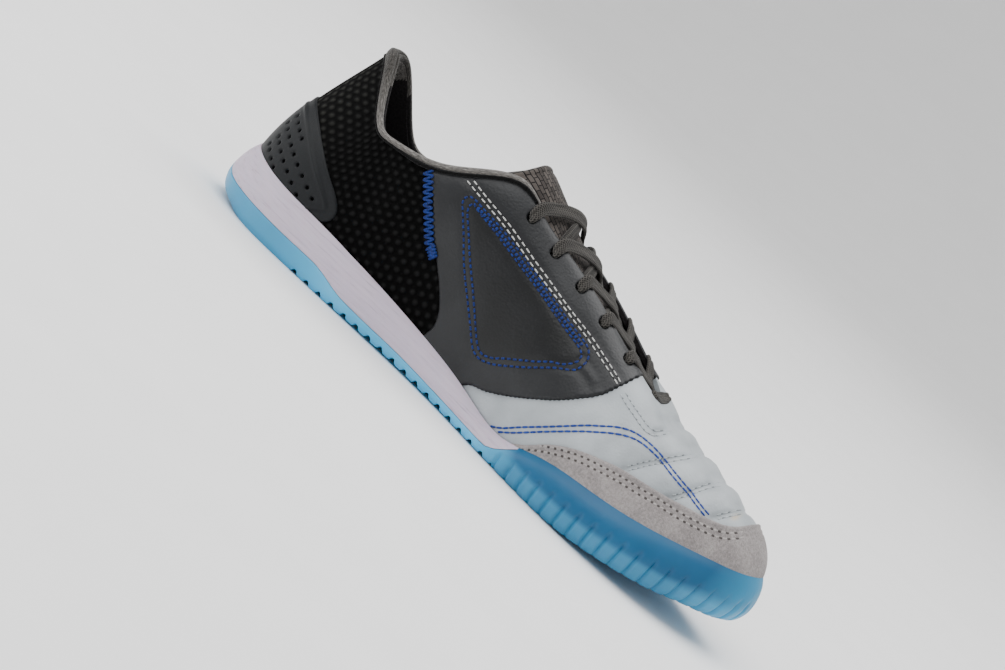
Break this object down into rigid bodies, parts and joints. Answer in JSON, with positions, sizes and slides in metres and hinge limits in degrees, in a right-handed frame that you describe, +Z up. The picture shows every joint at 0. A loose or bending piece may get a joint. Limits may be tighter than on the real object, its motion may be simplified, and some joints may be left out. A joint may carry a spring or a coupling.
{
  "type": "indoor soccer shoe",
  "caption": "Left low-cut indoor soccer shoe: hollow upper with leather quarters, suede toe guard, padded collar, tongue and laces on a foam midsole and a blue cup outsole.",
  "frame": {"origin": "on the floor, under the middle of the shoe's bounding box", "axes": "+X from the heel to the toe, +Y to the lateral side, +Z up from the floor"},
  "size_m": [0.2918, 0.1038, 0.1028],
  "materials": {
    "outsole_rubber": "translucent blue gum rubber",
    "midsole_foam": "moulded pale foam",
    "sockliner": "textile over foam",
    "upper_textile": "black textured mesh with a padded lining",
    "quarter_leather": "smooth dark grey leather",
    "counter_moulding": "perforated slate moulding",
    "guard_suede": "pale grey suede",
    "trim_fabric": "grey woven trim",
    "lace": "flat charcoal lace"
  },
  "bodies": {
    "root": {"outsole": "outsole_rubber", "midsole": "midsole_foam", "insole": "sockliner", "upper": "upper_textile", "quarter_medial": "quarter_leather", "quarter_lateral": "quarter_leather", "heel_counter": "counter_moulding", "toe_guard": "guard_suede", "collar_binding": "trim_fabric", "tongue": "trim_fabric", "lace_crossing_1": "lace", "lace_crossing_2": "lace", "lace_crossing_3": "lace", "lace_crossing_4": "lace", "lace_crossing_5": "lace", "lace_bar": "lace"}
  },
  "joints": []
}
